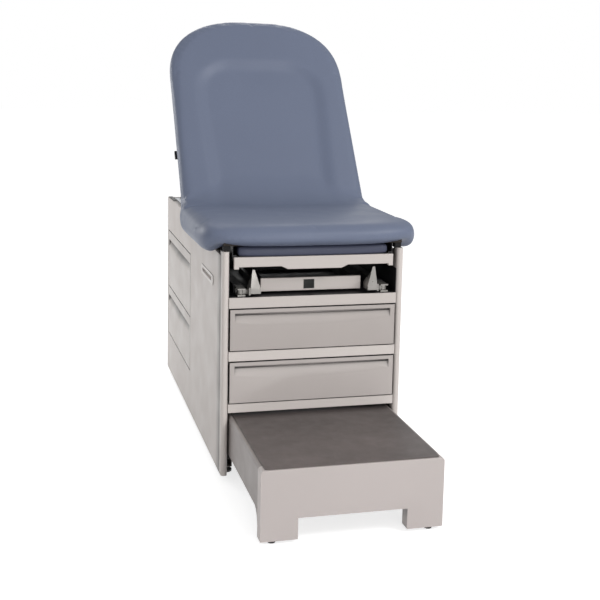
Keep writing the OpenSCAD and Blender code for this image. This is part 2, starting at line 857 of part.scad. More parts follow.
module legrest_carrier() color(black) in_place() {
    z1 = leg_bar_top;
    difference() {
        block([-carrier_half, leg_bar_t, z1 - carrier_t], [carrier_half, carrier_y1, z1]);
        block([-carrier_half + carrier_sheet, leg_bar_t + carrier_sheet, z1 - carrier_t - overrun],
            [carrier_half - carrier_sheet, carrier_y1 - carrier_sheet, z1 - carrier_sheet]);
    }
    both_sides() block([carrier_half, leg_runner_y0, leg_rail_z],
        [carrier_half + carrier_rail_w, carrier_y1, leg_rail_z + carrier_rail_h]);
}

module legrest_runners() color(black) in_place() both_sides() {
    x1 = carrier_half + carrier_rail_w + slide_gap + leg_runner_t;
    z0 = leg_rail_z - slide_gap - leg_runner_t;
    z1 = leg_rail_z + carrier_rail_h + slide_gap + leg_runner_t;
    channel(carrier_half + runner_gap, x1, leg_runner_y0, leg_runner_y1, z0, z1, leg_runner_t);
    block([x1 - leg_runner_t, leg_runner_y0, z1], [x1, leg_runner_y1, board_z]);
}

// Rings of the leg rest's pad
function legrest_ring(m, z) = [for (p = ring_plan(legrest_half - m, legrest_y0 + m, legrest_y1 - m,
    legrest_corner, legrest_corner)) [p[0], p[1], z]];

module legrest_cushion() color(vinyl_dark) in_place() joined_rings([
    for (s = legrest_shares) legrest_ring(legrest_draw * s[0], leg_bar_top + legrest_pad * s[1])],
    [0, (legrest_y0 + legrest_y1) / 2, leg_bar_top + legrest_pad * legrest_shares[0][1]],
    [0, (legrest_y0 + legrest_y1) / 2, leg_bar_top + legrest_pad]);

// Treatment pan

module pan_front() color(paint) in_place()
    block([-pan_front_half, pan_y0, pan_z], [pan_front_half, pan_y1, pan_z + pan_front_h]);

module pan_badge() color(black) in_place()
    block([-badge_w / 2 - badge_shift, pan_y0 - badge_t, pan_z + (pan_front_h - badge_h) / 2],
        [badge_w / 2 - badge_shift, pan_y0, pan_z + (pan_front_h + badge_h) / 2]);

module treatment_pan() color(black) in_place() {
    y1 = pan_y1 + pan_len;
    r = pan_corner_r;
    difference() {
        union() {
            block([-pan_half, pan_y1, pan_z + pan_t], [pan_half, y1, pan_z + pan_h]);
            both_sides() block([pan_half, pan_y1, pan_z],
                [pan_half + pan_rail_w, y1, pan_z + pan_rail_h]);
        }
        block([-pan_half + pan_t + r, pan_y1 + pan_t, pan_z + 2 * pan_t],
            [pan_half - pan_t - r, y1 - pan_t, pan_z + pan_h + overrun]);
        block([-pan_half + pan_t, pan_y1 + pan_t + r, pan_z + 2 * pan_t],
            [pan_half - pan_t, y1 - pan_t - r, pan_z + pan_h + overrun]);
        for (x = [-1, 1]) for (y = [pan_y1 + pan_t + r, y1 - pan_t - r])
            bar_z(x * (pan_half - pan_t - r), y, pan_z + 2 * pan_t, pan_z + pan_h + overrun, r);
    }
}

module pan_runners() color(black) in_place() both_sides() {
    x1 = pan_half + pan_rail_w + slide_gap + pan_runner_t;
    channel(pan_half + runner_gap, x1, pan_runner_y0, pan_runner_y1, pan_z - slide_gap - pan_runner_t,
        pan_z + pan_rail_h + slide_gap + pan_runner_t, pan_runner_t);
    block([x1 - pan_runner_t, pan_runner_y0, liner_floor],
        [x1, pan_runner_y1, pan_z - slide_gap]);
}

// Stirrups

module stirrup_guides() color(black) in_place() both_sides() difference() {
    h = guide_w / 2;
    block([guide_x - h, guide_y0, guide_z - h], [guide_x + h, guide_y1, guide_z + h]);
    block([guide_x - h + guide_t, guide_y0 - overrun, guide_z - h + guide_t],
        [guide_x + h - guide_t, guide_y1 + overrun, guide_z + h - guide_t]);
}

module stirrup_arm() {
    h = arm_w / 2;
    difference() {
        block([guide_x - h, arm_y0, guide_z - h], [guide_x + h, arm_y1, guide_z + h]);
        block([guide_x - h + arm_t, arm_block_y1, guide_z - h + arm_t],
            [guide_x + h - arm_t, arm_y1 + overrun, guide_z + h - arm_t]);
        block([guide_x - h - overrun, arm_y0 - overrun, guide_z - yoke_gap / 2],
            [guide_x + h + overrun, yoke_y1, guide_z + yoke_gap / 2]);
        bar_z(guide_x, swivel_y, guide_z - h - overrun, guide_z + h + overrun, swivel_r + run_gap);
    }
}

module stirrup_head() {
    bar_z(guide_x, swivel_y, guide_z - arm_w / 2, guide_z + arm_w / 2, swivel_r);
    bar_z(guide_x, swivel_y, guide_z - hub_h / 2, guide_z + hub_h / 2, hub_r);
    block([head_x, swivel_y - head_arm_w / 2, guide_z - hub_h / 2],
        [guide_x, swivel_y + head_arm_w / 2, guide_z + hub_h / 2]);
    block([head_x, head_plate_y0, head_plate_z0], [head_x + head_plate_t, head_plate_y1, head_plate_z1]);
    bar_x(cup_x0 + cup_pin_inset, head_x + head_plate_t / 2, cup_pin_y, cup_pin_z, cup_pin_r);
}

// The cup: a heel block whose front narrows to a point, hollowed for the heel
module stirrup_cup() {
    mid = (cup_x0 + cup_x1) / 2;
    difference() {
        intersection() {
            front_plate(cup_y0, cup_y1, [[cup_x0, cup_z0], [cup_x1, cup_z0], [cup_x1, cup_shoulder_z],
                [mid + cup_tip_shift + cup_tip_half, cup_z1], [mid + cup_tip_shift - cup_tip_half, cup_z1],
                [cup_x0, cup_shoulder_z]]);
            side_plate(cup_x0, cup_x1, [[cup_y0, cup_z0], [cup_y1, cup_z0], [cup_y1, cup_heel_z],
                [cup_tip_y + cup_wall, cup_z1], [cup_tip_y, cup_z1], [cup_y0, cup_heel_z]]);
        }
        translate([mid, cup_y1 + cup_scoop_back, cup_z1]) sphere(cup_scoop_r);
        bar_x(cup_x0 - overrun, cup_x1 + overrun, cup_pin_y, cup_pin_z, cup_pin_r + run_gap);
    }
}

module left_stirrup_arm() color(cast) in_place() mirror([1, 0, 0]) stirrup_arm();
module right_stirrup_arm() color(cast) in_place() stirrup_arm();
module left_stirrup_head() color(steel) in_place() mirror([1, 0, 0]) stirrup_head();
module right_stirrup_head() color(steel) in_place() stirrup_head();
module left_stirrup_cup() color(cast) in_place() mirror([1, 0, 0]) stirrup_cup();
module right_stirrup_cup() color(cast) in_place() stirrup_cup();

// Drawers

upper_z0 = divider_top + reveal;
upper_z1 = sill_z - reveal;
lower_z0 = header_top + reveal;
lower_z1 = divider_z - reveal;
side_upper_z0 = side_split_z + reveal / 2;
side_upper_z1 = side_bay_z1 - reveal;
side_lower_z0 = side_bay_z0 + reveal;
side_lower_z1 = side_split_z - reveal / 2;

module front_drawer_runners() color(steel) in_place() for (z = [upper_z0, lower_z0])
    drawer_runners(inner_x, runner_y0, runner_y1, z + front_rail_z);

module side_drawer_runners() color(steel) in_place() to_left_side()
    for (z = [side_upper_z0, side_lower_z0])
        drawer_runners(side_bay_half, side_runner_x0, side_runner_x0 + side_runner_d, z + side_rail_z);

module upper_drawer_front() color(paint) in_place()
    drawer_face(front_half, upper_z0, upper_z1, lip_h);
module lower_drawer_front() color(paint) in_place()
    drawer_face(front_half, lower_z0, lower_z1, lip_h);
module upper_drawer_box() color(steel) in_place() drawer_box(front_box_half, drawer_box_d,
    upper_z0 + front_box_z, front_box_h, upper_z0 + front_rail_z);
module lower_drawer_box() color(steel) in_place() drawer_box(front_box_half, drawer_box_d,
    lower_z0 + front_box_z, front_box_h, lower_z0 + front_rail_z);
module side_upper_drawer_front() color(paint) in_place() to_left_side()
    drawer_face(side_front_half, side_upper_z0, side_upper_z1, side_lip_h);
module side_lower_drawer_front() color(paint) in_place() to_left_side()
    drawer_face(side_front_half, side_lower_z0, side_lower_z1, side_lip_h);
module side_upper_drawer_box() color(steel) in_place() to_left_side() drawer_box(side_box_half, side_box_d,
    side_upper_z0 + side_box_z, side_box_h, side_upper_z0 + side_rail_z);
module side_lower_drawer_box() color(steel) in_place() to_left_side() drawer_box(side_box_half, side_box_d,
    side_lower_z0 + side_box_z, side_box_h, side_lower_z0 + side_rail_z);

// Step

// Cross-section of the step's sheet with rounded upper edges, drawn in by a margin
module step_bar(m, y0, y1, z0) {
    x = step_half - m;
    z = step_top - m;
    r = step_corner_r - m;
    block([-x, y0, z0], [x, y1, z - r]);
    block([-x + r, y0, z0], [x - r, y1, z]);
    both_sides() bar_y(x - r, y0, y1, z - r, r);
}

module step_front() color(paint) in_place() {
    y0 = -step_out;
    y1 = leg_d - step_out;
    difference() {
        step_bar(0, y0, y1, step_foot_h);
        difference() {
            step_bar(step_sheet, y0 + step_sheet, y1 + overrun, step_foot_h + step_sheet);
            block([-cutout_w / 2 - step_sheet, y0, 0], [cutout_w / 2 + step_sheet, y1 + 2 * overrun,
                cutout_z + step_sheet]);
        }
        block([-cutout_w / 2, y0 - overrun, 0], [cutout_w / 2, y1 + 3 * overrun, cutout_z]);
    }
}

module step_deck() color(paint_shade) in_place() {
    y0 = leg_d - step_out;
    difference() {
        union() {
            step_bar(0, y0, step_rear, skirt_z);
            block([-step_half, y0, skirt_z - skirt_fillet],
                [step_half, y0 + skirt_fillet, skirt_z + step_corner_r]);
        }
        step_bar(step_sheet, y0 - overrun, step_rear + overrun, 0);
        bar_x(-step_half - overrun, step_half + overrun, y0 + skirt_fillet, skirt_z - skirt_fillet,
            skirt_fillet);
    }
}

module step_tread() color(rubber) in_place() {
    x = step_half - tread_margin - tread_corner_r;
    y0 = tread_front - step_out + tread_corner_r;
    y1 = step_rear - tread_rear;
    z1 = step_top + tread_t;
    block([-x - tread_corner_r, y0, step_top], [x + tread_corner_r, y1, z1]);
    block([-x, y0 - tread_corner_r, step_top], [x, y1, z1]);
    both_sides() bar_z(x, y0, step_top, z1, tread_corner_r);
}

module step_slides() color(steel) in_place() both_sides()
    block([step_half - step_sheet - step_slide_w, step_slide_y0, step_slide_z],
        [step_half - step_sheet, step_rear, step_slide_z + step_slide_h]);

// Channels that open outwards and hold the slides, on legs that stand on the base frame
module step_runners() color(black) in_place() both_sides() {
    x0 = step_half - step_sheet - step_slide_w - slide_gap - step_runner_t;
    x1 = step_half - step_sheet - runner_gap;
    z0 = step_slide_z - slide_gap - step_runner_t;
    z1 = step_slide_z + step_slide_h + slide_gap + step_runner_t;
    difference() {
        block([x0, step_runner_y0, z0], [x1, step_runner_y1, z1]);
        block([x0 + step_runner_t, step_runner_y0 - overrun, z0 + step_runner_t],
            [x1 + overrun, step_runner_y1 + overrun, z1 - step_runner_t]);
    }
    for (y = [base_y0, step_runner_y1 - step_runner_leg])
        block([x0, y, base_top], [x0 + step_runner_t, y + step_runner_leg, z0 + step_runner_t]);
}

module step_feet() color(black) in_place() both_sides()
    bar_z(step_foot_x, leg_d / 2 - step_out, 0, step_foot_h, step_foot_r);

// Back

module back_board() color(timber) on_back() {
    r = board_corner_r;
    block([-board_half, back_board_u0, board_w0], [board_half, back_board_u1 - r, board_w1]);
    block([-board_half + r, back_board_u0, board_w0], [board_half - r, back_board_u1, board_w1]);
    both_sides() bar_z(board_half - r, back_board_u1 - r, board_w0, board_w1, r);
}

// Rings of the back: half width, lower and upper end, corners, height along the sides, and what is
// taken from it at the lower end
function back_ring(half, v0, v1, low, high, w, low_drop) = [
    for (p = ring_plan(half, v0, v1, low, high))
        [p[0], p[1], w - low_drop * ease((back_ease - p[1]) / (back_ease - back_u0))]];

// Outer rings at height w, drawn in by m; the lower end leans with the height
function back_skin(m, w, drop) = back_ring(back_half - m,
    back_u0 - back_bevel * (back_w1 - w) / (back_w1 - back_w0) + m, back_len - m,
    [back_low_a, back_low_n], [back_top_a, back_top_n], w, drop);

// Rings of the face, which turn from the outline's form to the recess's: share of the borders at the
// sides and at the head, of the recess's depth, and of what the lower end lacks
function back_face(s) = let (f = min(1, s[0])) back_ring(back_half - back_border * s[0],
    back_u0 + back_border * s[0], back_len - back_head * s[1], [back_low_a, back_low_n],
    [back_top_a + (recess_a - back_top_a) * f, back_top_n + (recess_n - back_top_n) * f],
    back_w1 - back_recess * s[2], back_recess * (s[3] - s[2]));

module back_cushion() color(vinyl) on_back() joined_rings([
    back_ring(board_half + back_gap, back_board_u0 - back_gap, back_board_u1 + back_gap, cavity_corner,
        [board_corner_r, back_cavity_n], board_w1 + soft_gap, 0),
    back_ring(board_half + back_gap, back_board_u0 - back_gap, back_board_u1 + back_gap, cavity_corner,
        [board_corner_r, back_cavity_n], back_w0, 0),
    for (s = back_shares) back_skin(back_draw * s[0], back_w0 + back_pad * s[1], back_recess * s[2]),
    for (s = back_face_shares) back_face(s)],
    [0, (back_board_u0 + back_board_u1) / 2, board_w1 + soft_gap],
    [0, (back_u0 + back_len) / 2, back_w1 - back_recess * back_centre]);

module back_rails() color(black) on_back() both_sides() {
    x0 = back_rail_x;
    x1 = back_rail_x + back_rail_w;
    difference() {
        union() {
            block([x0, 0, -hinge_end_r], [x1, back_rail_end, board_w0]);
            bar_x(x0, x1, 0, 0, hinge_end_r);
        }
        bar_x(x0 - overrun, x1 + overrun, 0, 0, hinge_r + run_gap);
        bar_x(x0 - overrun, x1 + overrun, release_u, release_w, release_r + run_gap);
        bar_x(x0 - overrun, x1 + overrun, strut_len, 0, strut_pin_r);
    }
}

module strut_pins() color(steel) on_back() both_sides()
    bar_x(back_rail_x, strut_x + strut_w + strut_pin_end, strut_len, 0, strut_pin_r);

// The strut leans against the back by the same angle, so its foot runs level with the hinge
module on_strut() {
    translate([0, hinge_y + strut_len * cos(back_lean), hinge_z + strut_len * sin(back_lean)])
        rotate([-back_lean, 0, 0]) children();
}

module strut_bars() color(steel) in_place() on_strut() both_sides() difference() {
    union() {
        block([strut_x, 0, -strut_r], [strut_x + strut_w, strut_len, strut_r]);
        for (u = [0, strut_len]) bar_x(strut_x, strut_x + strut_w, u, 0, u == 0 ? strut_r : strut_foot_r);
    }
    bar_x(strut_x - overrun, strut_x + strut_w + overrun, 0, 0, strut_pin_r + run_gap);
    bar_x(strut_x - overrun, strut_x + strut_w + overrun, strut_len, 0, foot_tube_r + run_gap);
}

foot_y = hinge_y + 2 * strut_len * cos(back_lean);

module foot_tube() color(steel) in_place() difference() {
    bar_x(-tube_end, tube_end, foot_y, hinge_z, foot_tube_r);
    both_sides() bar_x(tube_end - lock_bore, tube_end + overrun, foot_y, hinge_z, lock_pin_r + lock_gap);
}

module foot_rollers() color(black) in_place() both_sides() difference() {
    bar_x(tube_end - roller_w, tube_end, foot_y, hinge_z, roller_r);
    bar_x(tube_end - roller_w - overrun, tube_end + overrun, foot_y, hinge_z, foot_tube_r);
}

module lock_pin() {
    x1 = tube_end + lock_end;
    bar_x(x1 - lock_pin_len, x1, foot_y, hinge_z, lock_pin_r);
}
module left_lock_pin() color(steel) in_place() mirror([1, 0, 0]) lock_pin();
module right_lock_pin() color(steel) in_place() lock_pin();

module release_bar() color(black) on_back() {
    bar_x(-release_half, release_half, release_u, release_w, release_r);
    both_sides() {
        block([release_half, release_u, release_w - release_r],
            [paddle_x, release_u + paddle_len, release_w - release_r + paddle_t]);
        bar_x(release_half, paddle_x, release_u, release_w, release_r);
    }
}

left_side_panel();
right_side_panel();
front_posts();
rear_panel();
bulkhead();
base_frame();
sill_rail();
drawer_rails();
bay_liner();
head_deck();
hinge_carrier();
seat_board();
seat_cushion();
seat_brackets();
legrest_runners();
pan_runners();
stirrup_guides();
step_runners();
front_drawer_runners();
side_drawer_runners();
strut_tracks();
grip_bezels();
edge_bumpers();
levelling_feet();
panel_screws();
back_board();
back_cushion();
back_rails();
strut_pins();
strut_bars();
foot_tube();
foot_rollers();
left_lock_pin();
right_lock_pin();
release_bar();
legrest_bar();
legrest_carrier();
legrest_cushion();
step_deck();
step_front();
step_tread();
step_slides();
step_feet();
upper_drawer_front();
upper_drawer_box();
lower_drawer_front();
lower_drawer_box();
side_upper_drawer_front();
side_upper_drawer_box();
side_lower_drawer_front();
side_lower_drawer_box();
pan_front();
pan_badge();
treatment_pan();
left_stirrup_arm();
right_stirrup_arm();
left_stirrup_head();
right_stirrup_head();
left_stirrup_cup();
right_stirrup_cup();
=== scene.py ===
"""Looks for the examination table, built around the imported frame. Metres, same frame as the CAD."""

import json
import math

import bmesh
import bpy
import numpy as np
from mathutils import Matrix, Vector


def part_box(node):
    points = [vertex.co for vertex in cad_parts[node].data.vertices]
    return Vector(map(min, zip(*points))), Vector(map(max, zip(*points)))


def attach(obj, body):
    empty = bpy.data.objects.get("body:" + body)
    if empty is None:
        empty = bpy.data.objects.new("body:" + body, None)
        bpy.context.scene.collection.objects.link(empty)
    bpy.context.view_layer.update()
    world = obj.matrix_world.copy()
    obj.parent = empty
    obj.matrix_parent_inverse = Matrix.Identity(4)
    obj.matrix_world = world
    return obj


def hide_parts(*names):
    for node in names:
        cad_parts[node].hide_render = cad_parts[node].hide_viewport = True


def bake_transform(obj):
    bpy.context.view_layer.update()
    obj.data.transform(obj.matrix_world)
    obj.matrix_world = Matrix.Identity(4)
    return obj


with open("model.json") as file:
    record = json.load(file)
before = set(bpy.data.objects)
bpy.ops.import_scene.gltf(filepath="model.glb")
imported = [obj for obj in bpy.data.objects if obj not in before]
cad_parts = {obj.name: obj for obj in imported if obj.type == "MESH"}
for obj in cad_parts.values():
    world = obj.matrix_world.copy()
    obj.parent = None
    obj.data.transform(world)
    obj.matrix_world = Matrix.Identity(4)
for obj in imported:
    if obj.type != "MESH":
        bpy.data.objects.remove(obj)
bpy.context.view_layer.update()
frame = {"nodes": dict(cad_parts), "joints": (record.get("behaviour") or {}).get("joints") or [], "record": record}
nodes = frame["nodes"]
scene = bpy.context.scene

MM = 0.001

# The table's own directions, taken from the frame
HINGE = next(j for j in frame["joints"] if j["name"] == "back_hinge")
HINGE_POS = Vector(HINGE["pos_m"])
LEAN = math.radians(-HINGE["range_deg"][0])
ALONG_BACK = Vector((0, math.cos(LEAN), math.sin(LEAN)))
OUT_OF_BACK = Vector((0, -math.sin(LEAN), math.cos(LEAN)))


def back_point(x, u, w):
    """A point in the leaning back's own frame: u up along it, w out of its face."""
    p = HINGE_POS + ALONG_BACK * u + OUT_OF_BACK * w
    return Vector((x, p.y, p.z))


def back_box(node):
    """Lowest and highest (x, u, w) of a node on the back."""
    points = [v.co - HINGE_POS for v in nodes[node].data.vertices]
    local = [(p.x, p.dot(ALONG_BACK), p.dot(OUT_OF_BACK)) for p in points]
    return [min(c) for c in zip(*local)], [max(c) for c in zip(*local)]


# ---------------------------------------------------------------------------
# Materials
# ---------------------------------------------------------------------------


def srgb(r, g, b):
    """An 8-bit display colour as linear values."""
    def linear(c):
        c /= 255
        return c / 12.92 if c <= 0.04045 else ((c + 0.055) / 1.055) ** 2.4

    return (linear(r), linear(g), linear(b), 1)


class Shader:
    """A node material with a Principled shader, and short ways to add what feeds it."""

    def __init__(self, name, roughness=0.5, metallic=0.0, specular=0.5):
        self.material = bpy.data.materials.new(name)
        self.material.use_nodes = True
        self.tree = self.material.node_tree
        self.bsdf = self.tree.nodes["Principled BSDF"]
        self.bsdf.inputs["Roughness"].default_value = roughness
        self.bsdf.inputs["Metallic"].default_value = metallic
        self.bsdf.inputs["Specular IOR Level"].default_value = specular
        self.coords = self.add("ShaderNodeTexCoord").outputs["Object"]

    def add(self, kind, **values):
        node = self.tree.nodes.new(kind)
        for key, value in values.items():
            setattr(node, key, value)
        return node

    def link(self, a, b):
        self.tree.links.new(a, b)

    def scaled(self, scale):
        """Object coordinates, scaled per axis."""
        mapping = self.add("ShaderNodeMapping")
        mapping.inputs["Scale"].default_value = scale
        self.link(self.coords, mapping.inputs["Vector"])
        return mapping.outputs["Vector"]

    def part(self, vector, axis):
        """One component of a vector."""
        node = self.add("ShaderNodeSeparateXYZ")
        self.link(vector, node.inputs["Vector"])
        return node.outputs[axis]

    def noise(self, scale, detail=3, roughness=0.5, vector=None, distortion=0.0):
        node = self.add("ShaderNodeTexNoise")
        node.inputs["Scale"].default_value = scale
        node.inputs["Detail"].default_value = detail
        node.inputs["Roughness"].default_value = roughness
        node.inputs["Distortion"].default_value = distortion
        self.link(vector or self.coords, node.inputs["Vector"])
        return node.outputs["Fac"]

    def voronoi(self, scale, feature="F1", vector=None):
        node = self.add("ShaderNodeTexVoronoi", feature=feature)
        node.inputs["Scale"].default_value = scale
        self.link(vector or self.coords, node.inputs["Vector"])
        return node.outputs["Distance"]

    def ramp(self, value, low, high, start, end):
        """Maps value from low..high to start..end, held at both ends."""
        node = self.add("ShaderNodeMapRange")
        for key, number in zip(("From Min", "From Max", "To Min", "To Max"), (low, high, start, end)):
            node.inputs[key].default_value = number
        self.link(value, node.inputs["Value"])
        return node.outputs["Result"]

    def mix(self, factor, a, b):
        """Mixes two colours, given as values or as outputs."""
        node = self.add("ShaderNodeMix", data_type="RGBA")
        self.link(factor, node.inputs["Factor"])
        for socket, colour in zip((node.inputs[6], node.inputs[7]), (a, b)):
            if isinstance(colour, tuple):
                socket.default_value = colour
            else:
                self.link(colour, socket)
        return node.outputs[2]

    def math(self, operation, a, b):
        node = self.add("ShaderNodeMath", operation=operation)
        for socket, value in zip(node.inputs, (a, b)):
            if isinstance(value, (int, float)):
                socket.default_value = value
            else:
                self.link(value, socket)
        return node.outputs[0]

    def crevice_shade(self, base, distance, strength):
        """The base colour, darker where other surfaces stand close: painted shade in corners and under lips."""
        near = self.add("ShaderNodeAmbientOcclusion", samples=6)
        near.inputs["Distance"].default_value = distance
        closed = self.ramp(near.outputs["AO"], 0.25, 0.95, strength, 0)
        return self.mix(closed, base, (0.004, 0.004, 0.004, 1))

    def colour(self, output):
        self.link(output, self.bsdf.inputs["Base Color"])

    def roughness(self, output):
        self.link(output, self.bsdf.inputs["Roughness"])

    def bump(self, height, distance, strength=1.0):
        """Adds a bump of that depth in metres on top of those already there."""
        node = self.add("ShaderNodeBump")
        node.inputs["Strength"].default_value = strength
        node.inputs["Distance"].default_value = distance
        self.link(height, node.inputs["Height"])
        normal = self.bsdf.inputs["Normal"]
        if normal.is_linked:
            self.link(normal.links[0].from_socket, node.inputs["Normal"])
        self.link(node.outputs["Normal"], normal)


def shade(colour, factor):
    """The colour, darker or lighter by a factor."""
    return tuple(c * factor for c in colour[:3]) + (1,)


def powder_coat(name, colour, wear_and_highlight=0.5, corner_shade=(0.012, 0.35), seam=None, hollow=None):
    """Satin powder coat: faint orange peel, cloudy tone, lighter edges that are partly worn paint and partly a
    painted highlight, painted shade in the corners.

    seam is the place along Y of a joint between panels, where the coat is painted dark as the shade in the joint.
    hollow is the place along X of a drawer's face: what is sunk behind it is painted dark too, as the shade under
    the pull's lip."""
    s = Shader(name, roughness=0.42, specular=0.45)
    tone = s.ramp(s.noise(3.5, 4), 0.35, 0.65, 0, 1)
    base = s.mix(tone, shade(colour, 0.955), shade(colour, 1.02))
    fleck = s.ramp(s.noise(1400, 1), 0.42, 0.6, 0, 1)
    base = s.mix(fleck, base, shade(colour, 0.93))
    # Lighter edges: partly worn paint, partly a painted highlight where the rounded edges catch the light
    edges = s.math("MULTIPLY", s.add("ShaderNodeAttribute", attribute_name="wear_and_highlight").outputs["Fac"], wear_and_highlight)
    base = s.mix(edges, base, shade(colour, 1.22))
    painted_shade = shade(colour, 0.16)
    # Painted shade at the joint: darkest at the seam, fading out 62 mm behind it
    if seam is not None:
        behind = s.math("SUBTRACT", s.part(s.coords, "Y"), seam)
        before = s.ramp(behind, -0.030, -0.006, 0, 1)
        base = s.mix(s.math("MULTIPLY", s.ramp(behind, 0.006, 0.062, 0.78, 0), before), base, painted_shade)
    # Painted shade in the sunk pull: darker the deeper it lies, up to 15 mm behind the face, on surfaces facing
    # outwards
    if hollow is not None:
        sunk = s.math("SUBTRACT", s.part(s.coords, "X"), hollow)
        facing = s.part(s.add("ShaderNodeTexCoord").outputs["Normal"], "X")
        place = s.math("MULTIPLY", s.ramp(sunk, 0.001, 0.0085, 0, 0.92), s.ramp(sunk, 0.0140, 0.0150, 1, 0))
        base = s.mix(s.math("MULTIPLY", place, s.ramp(facing, -0.7, -0.5, 1, 0)), base, painted_shade)
    # Painted shade: the coat darkened wherever other surfaces stand close
    s.colour(s.crevice_shade(base, *corner_shade))
    s.roughness(s.ramp(s.noise(14, 5), 0.3, 0.7, 0.36, 0.50))
    s.bump(s.noise(420, 2), 0.0002, 0.35)
    return s.material


def vinyl(name, colour):
    """Upholstery vinyl: leather-like grain, slow tone changes, satin sheen."""
    s = Shader(name, roughness=0.48, specular=0.36)
    tone = s.ramp(s.noise(2.6, 3, distortion=0.4), 0.32, 0.68, 0, 1)
    base = s.mix(tone, shade(colour, 0.96), shade(colour, 1.03))
    grain = s.voronoi(620, "SMOOTH_F1")
    pores = s.ramp(grain, 0.1, 0.75, 0, 1)
    base = s.mix(pores, shade(colour, 0.90), base)
    s.colour(base)
    s.roughness(s.ramp(s.noise(9, 4), 0.3, 0.7, 0.42, 0.54))
    s.bump(grain, 0.00035, 0.30)
    s.bump(s.noise(90, 4), 0.0004, 0.10)
    return s.material


def moulded(name, colour, roughness=0.5, grain=700):
    """Moulded plastic or enamel with a fine spark-eroded grain."""
    s = Shader(name, roughness=roughness, specular=0.4)
    tone = s.ramp(s.noise(6, 4), 0.3, 0.7, 0, 1)
    s.colour(s.mix(tone, shade(colour, 0.85), shade(colour, 1.15)))
    s.roughness(s.ramp(s.noise(25, 4), 0.3, 0.7, roughness - 0.07, roughness + 0.1))
    s.bump(s.noise(grain, 2), 0.00025, 0.3)
    return s.material


# How far forward from the rear edge the painted shade reaches
SHADE_LENGTH = 0.45


def rubber(name, colour, shade_rear_y=None):
    """Matte rubber with dust in its grain and scuffs, paler towards the front: painted shade darkens it towards
    the rear.
    """
    s = Shader(name, roughness=0.36, specular=0.5)
    dust = s.ramp(s.noise(5, 6, 0.65), 0.42, 0.75, 0, 1)
    scuff = s.ramp(s.noise(38, 6, 0.7, s.scaled((1, 0.35, 1))), 0.55, 0.75, 0, 0.5)
    base = s.mix(dust, colour, shade(colour, 1.35))
    base = s.mix(scuff, base, shade(colour, 1.6))
    # Painted shade under the cabinet: darker towards the rear edge
    if shade_rear_y is not None:
        rear_shade_mask = s.ramp(s.part(s.coords, "Y"), shade_rear_y - SHADE_LENGTH, shade_rear_y, 0, 0.62)
        base = s.mix(rear_shade_mask, base, shade(colour, 0.2))
    s.colour(base)
    s.roughness(s.ramp(s.noise(22, 5), 0.3, 0.7, 0.34, 0.46))
    s.bump(s.noise(900, 2), 0.0003, 0.35)
    return s.material


def metal(name, colour, roughness):
    """Plated metal with a fine spangle."""
    s = Shader(name, roughness=roughness, metallic=1.0)
    lines = s.noise(1, 5, 0.6, s.scaled((160, 160, 160)))
    cloud = s.ramp(s.noise(7, 4), 0.3, 0.7, 0, 1)
    s.colour(s.mix(cloud, shade(colour, 0.86), shade(colour, 1.06)))
    s.roughness(s.ramp(lines, 0.25, 0.75, roughness - 0.08, roughness + 0.12))
    s.bump(lines, 0.0001, 0.25)
    return s.material


def cast_alloy(name, colour):
    """Satin cast alloy with a dull lacquer, so it reads pale from all sides."""
    s = Shader(name, roughness=0.34, metallic=0.55)
    cloud = s.ramp(s.noise(16, 4), 0.3, 0.7, 0, 1)
    s.colour(s.mix(cloud, shade(colour, 0.86), shade(colour, 1.04)))
    s.roughness(s.ramp(s.noise(60, 3), 0.3, 0.7, 0.26, 0.42))
    s.bump(s.noise(260, 3), 0.0002, 0.4)
    return s.material


def plywood(name, colour):
    """Bare plywood: long grain and thin dark plies on the edges."""
    s = Shader(name, roughness=0.7, specular=0.25)
    grain = s.noise(1, 6, 0.6, s.scaled((60, 4, 60)))
    base = s.mix(s.ramp(grain, 0.35, 0.65, 0, 1), shade(colour, 0.78), shade(colour, 1.12))
    s.colour(base)
    s.bump(grain, 0.0003, 0.4)
    return s.material


PAINT = srgb(206, 198, 193)
VINYL = srgb(111, 120, 142)
MATERIALS = {
    "paint": powder_coat("powder_coat", PAINT),
    # Drawer faces: strong painted shade in their corners, which draws the dark line under the pull's lip
    "drawer_face": powder_coat("drawer_face", srgb(184, 176, 172), 0.35, (0.022, 0.95)),
    # Inner parts: a darker copy of the paint, painted shade
    "paint_inner": powder_coat("powder_coat_inside", srgb(150, 143, 138), 0.2),
    # The step's deck: a darker copy of the paint, painted shade under the side panel near the floor
    "step_paint": powder_coat("powder_coat_step", srgb(152, 144, 141)),
    "vinyl": vinyl("vinyl_blue_grey", VINYL),
    # The leg rest pad's vinyl: a darker copy of the seat's, painted shade under the seat's front edge
    "vinyl_dark": vinyl("vinyl_navy", srgb(71, 75, 94)),
    "tread_rubber": rubber("tread_rubber", srgb(97, 89, 87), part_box("step_tread")[1].y),
    # Black moulding. The treatment pan takes this black too, as painted shade in the bay under the seat
    "black_plastic": moulded("black_plastic", srgb(26, 25, 27), 0.5),
    "black_rubber": rubber("black_rubber", srgb(46, 43, 42)),
    "black_steel": moulded("black_enamel", srgb(36, 35, 37), 0.4, 350),
    "zinc_steel": metal("zinc_plate", srgb(186, 188, 192), 0.34),
    "stirrup_metal": cast_alloy("cast_alloy", srgb(146, 143, 139)),
    "plywood": plywood("plywood_stained", srgb(52, 46, 42)),
}

